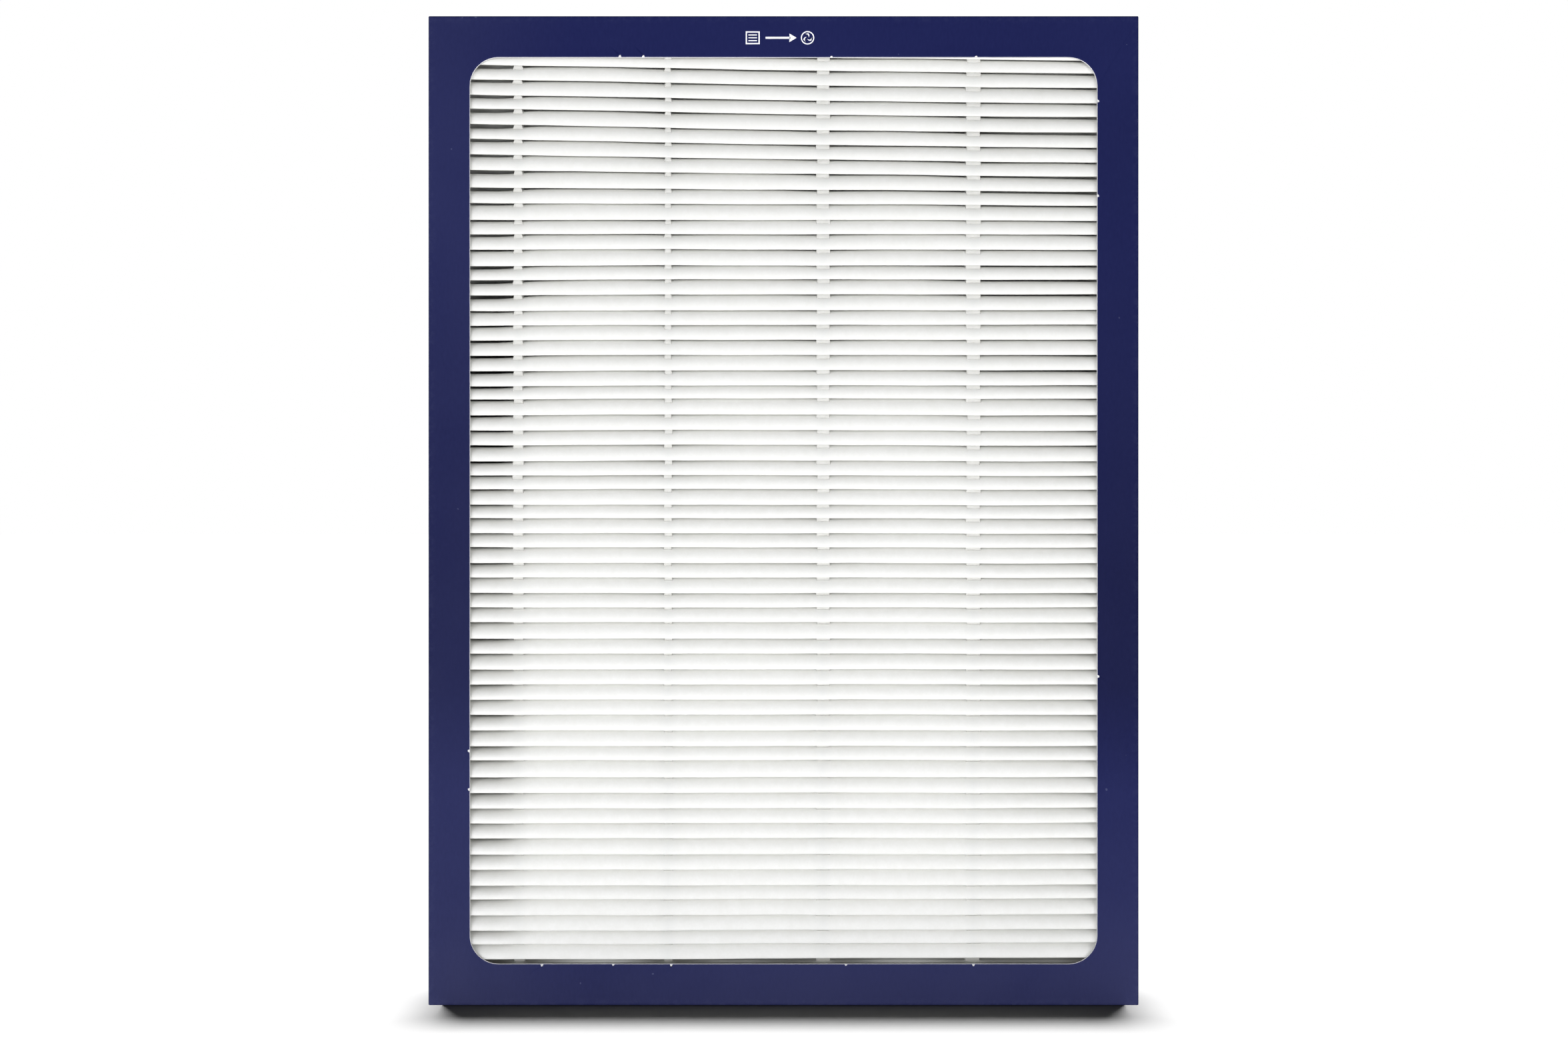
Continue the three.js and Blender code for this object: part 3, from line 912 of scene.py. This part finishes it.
def finger_rows(pack, face, number, i):
    """Rows of (x, depth, z) round a finger of glue: back under the lip, forward on the fold, and up."""
    near = pack.front if face == "front" else pack.rear
    flared = number <= WIDE_LINES
    low, high = SPACER_SPANS[number - 1]
    half = (high - low) / 2 * (WIDER if flared else 1.0)
    squeeze = rng.uniform(0.93, 1.08)
    middle = SPACER_MIDDLES[number - 1] + rng.normal(0, 0.1)
    drop = rng.uniform(0.85, 1.15) * (0.7 + 1.1 * float(fade(near.base[i], *DROP_GROWS)))
    top_scale = 0.9 - 0.24 * float(fade(near.base[i], *TOP_NARROWS)) if flared else 0.96
    wide = middle + LINE_ACROSS * half * squeeze
    narrow = middle + LINE_ACROSS * half * squeeze * top_scale
    into = SHEET / 2 - GLUE_BITE
    lip = near.tip(i + 1, narrow) - into
    rows = [(narrow, LINE_FRONT, lip)]
    for depth in (1.2, *LINE_DEPTHS):
        rows.append((narrow, depth, pack.gap(face, i, narrow, depth)[1] - into))
    for depth in reversed(LINE_DEPTHS):
        rows.append((wide, depth, pack.gap(face, i, wide, depth)[0] + into))
    foot = lip - drop
    foot_depth = near.depth_at(i, wide, foot - SHEET / 2)
    rows.append((wide, foot_depth - 0.05, foot))
    for part in (0.3, 0.65):
        depth = foot_depth + (LINE_FRONT - foot_depth) * part**1.2 - LINE_CROWN * LINE_FULLNESS
        rows.append((wide + (narrow - wide) * part, depth, foot + (lip - foot) * part))
    return rows


def add_spacer_line(pack, face, number, material):
    """Fingers of glue between neighbouring pleats, on the front or rear of the pack."""
    sign = -1 if face == "front" else 1
    count = pack.front.count if face == "front" else pack.rear.count
    points, faces = [], []
    for i in range(count - 1):
        rows = finger_rows(pack, face, number, i)
        start = len(points)
        columns = len(rows)
        for k in range(len(LINE_ACROSS)):
            points += [
                (float(x[k]), sign * (CREST_Y - float(np.broadcast_to(depth, x.shape)[k])), float(z[k]))
                for x, depth, z in rows
            ]
        faces += grid_faces(len(LINE_ACROSS), columns, closed=True, start=start)
        faces.append(tuple(start + c for c in reversed(range(columns))))
        last = start + (len(LINE_ACROSS) - 1) * columns
        faces.append(tuple(last + c for c in range(columns)))
    if sign > 0:
        faces = [f[::-1] for f in faces]
    line = add_piece(f"{face}_spacer_line_{number}", points, faces, [material])
    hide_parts(f"{face}_bead_{number}")


# ================================================================ the printed mark
INK = 0.03  # height of the print over the board, and how far it is sunk in it
MARK_AT = (-1.4, TRAY_HIGH[2] - 9.3)
BOX_SIDE = 4.9
BOX_WIDTH = 5.4
BOX_LEFT = -14.3
BOX_RIM = 0.55
BOX_LINES = (-1.2, 0.0, 1.2)
BOX_LINE_WIDTH = 0.42
BOX_LINE_INSET = 0.9
SHAFT = (-6.2, 4.3)  # the arrow's, from the mark's middle
SHAFT_WIDTH = 0.85
HEAD = (3.9, 6.9)
HEAD_HALF = 1.8
HUB = (MARK_AT[0] + 11.55, MARK_AT[1])
RING_RADIUS = 2.6
RING_WIDTH = 0.45
BLADE_RADIUS = 1.95
BLADE_STARTS = (20, 140, 260)
BLADE_SWEEP = 62
BLADE_WIDTH = 46


def ribbon(points, width):
    """The edges of a strip of even width along a run of (x, z) points, and whether the run is closed."""
    points = np.array(points, float)
    closed = np.allclose(points[0], points[-1])
    run = points[:-1] if closed else points
    before = np.roll(run, 1, axis=0)
    after = np.roll(run, -1, axis=0)
    if not closed:
        before[0], after[-1] = run[0], run[-1]
    inward = run - before
    outward = after - run
    if not closed:
        inward[0], outward[-1] = outward[0], inward[-1]
    inward /= np.linalg.norm(inward, axis=1)[:, None]
    outward /= np.linalg.norm(outward, axis=1)[:, None]
    side = inward + outward
    side /= np.linalg.norm(side, axis=1)[:, None]
    side = np.column_stack([-side[:, 1], side[:, 0]])
    reach = width / 2 / np.clip((side * np.column_stack([-inward[:, 1], inward[:, 0]])).sum(axis=1), 0.5, 1)
    return run + side * reach[:, None], run - side * reach[:, None], closed


def rotor_blade(centre, radius, start):
    """A curved fan blade as a closed outline, out along one edge and back along the other."""
    out = [(t, start + BLADE_SWEEP * t) for t in np.linspace(0, 1, 7)]
    back = [(t, start + BLADE_SWEEP * t + BLADE_WIDTH * t**0.6) for t in np.linspace(1, 0, 7)]
    return [
        (centre[0] + r * math.cos(math.radians(a)), centre[1] + r * math.sin(math.radians(a)))
        for r, a in ((radius * (0.25 + 0.75 * t), a) for t, a in out + back)
    ]


def add_airflow_mark(material):
    """Printed pictogram on the upper border: a filter, an arrow, and a fan rotor in a ring."""
    middle_x, middle_z = MARK_AT
    points, faces = [], []

    def lay(outline):
        """A flat ink area with a rim down to the board, its front a fan round its own middle."""
        outline = np.array(outline)
        start = len(points)
        count = len(outline)
        centre = outline.mean(axis=0)
        for depth in (FACE_Y + INK, FACE_Y - INK):
            points.extend((x, depth, z) for x, z in outline)
            points.append((centre[0], depth, centre[1]))
        front = start + count + 1
        for c in range(count):
            d = (c + 1) % count
            faces.append((start + c, start + d, front + d, front + c))
            faces.append((front + c, front + d, front + count))
            faces.append((start + d, start + c, start + count))

    def strip(left, right, closed):
        """A raised line between two edges, as ribbon makes them."""
        count = len(left)
        start = len(points)
        for depth in (FACE_Y + INK, FACE_Y - INK):
            for rim in (left, right):
                points.extend((x, depth, z) for x, z in rim)
        for c in range(count if closed else count - 1):
            d = (c + 1) % count
            a, b, p, q = (start + k * count for k in range(4))
            faces.append((p + c, p + d, q + d, q + c))
            faces.append((b + c, b + d, a + d, a + c))
            faces.append((a + c, a + d, p + d, p + c))
            faces.append((b + d, b + c, q + c, q + d))
        if not closed:
            a, b, p, q = (start + k * count for k in range(4))
            for c, turned in ((0, False), (count - 1, True)):
                cap = (a + c, p + c, q + c, b + c)
                faces.append(cap[::-1] if turned else cap)

    corner = middle_x + BOX_LEFT
    low, high = middle_z - BOX_SIDE / 2, middle_z + BOX_SIDE / 2
    box = [(corner, low), (corner + BOX_WIDTH, low), (corner + BOX_WIDTH, high), (corner, high)]
    strip(*ribbon(box + box[:1], BOX_RIM))
    for level in BOX_LINES:
        line = [(corner + inset, middle_z + level) for inset in (BOX_LINE_INSET, BOX_WIDTH - BOX_LINE_INSET)]
        strip(*ribbon(line, BOX_LINE_WIDTH))
    strip(*ribbon([(middle_x + end, middle_z) for end in SHAFT], SHAFT_WIDTH))
    head_back, head_tip = (middle_x + end for end in HEAD)
    lay([(head_back, middle_z - HEAD_HALF), (head_tip, middle_z), (head_back, middle_z + HEAD_HALF)])
    ring = [
        (HUB[0] + RING_RADIUS * math.cos(angle), HUB[1] + RING_RADIUS * math.sin(angle))
        for angle in (2 * math.pi * k / 40 for k in range(41))
    ]
    strip(*ribbon(ring, RING_WIDTH))
    for start in BLADE_STARTS:
        lay(rotor_blade(HUB, BLADE_RADIUS, start))
    add_piece("front_airflow_mark", points, faces, [material], smooth=False)


# ================================================================ build
scene = bpy.context.scene
object_parts = bpy.data.collections.new("object_parts")
floor_parts = bpy.data.collections.new("floor_parts")
shadow_parts = bpy.data.collections.new("shadow_parts")
add_camera()
add_lights(object_parts, floor_parts, shadow_parts)
add_world()
floor_parts.objects.link(add_floor())
scene.view_settings.view_transform = "Standard"

board_skins = [navy_laminate(), raw_board(), inner_board()]
paper = filter_paper()
spacer = hot_melt("spacer_glue", (0.585, 0.58, 0.545), (0.53, 0.525, 0.49), 0.5)
sealant = hot_melt("sealing_glue", (0.88, 0.85, 0.76), (0.76, 0.72, 0.60), 0.36)

front = add_tray(
    "front_board_tray", HALF_WIDTH, HALF_HEIGHT, BACK_Y - FACE_Y, False, board_skins, 11, FRONT_NICKS
)
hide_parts("front_tray")
rear_width, rear_height = REAR_HIGH[0], REAR_HIGH[2] - MIDDLE_Z
rear = add_tray(
    "rear_board_tray", rear_width, rear_height, REAR_HIGH[1] - REAR_LOW[1], True, board_skins, 23, REAR_NICKS
)
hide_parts("rear_tray")

pack = Pack()
shadow_parts.objects.link(add_media(pack, paper))
for face in ("front", "rear"):
    for number in SPACERS:
        add_spacer_line(pack, face, number, spacer)
add_airflow_mark(white_ink())

for name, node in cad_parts.items():
    if name.endswith(("_seal", "_glue")):
        node.data.materials.clear()
        node.data.materials.append(sealant)

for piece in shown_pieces():
    object_parts.objects.link(piece)
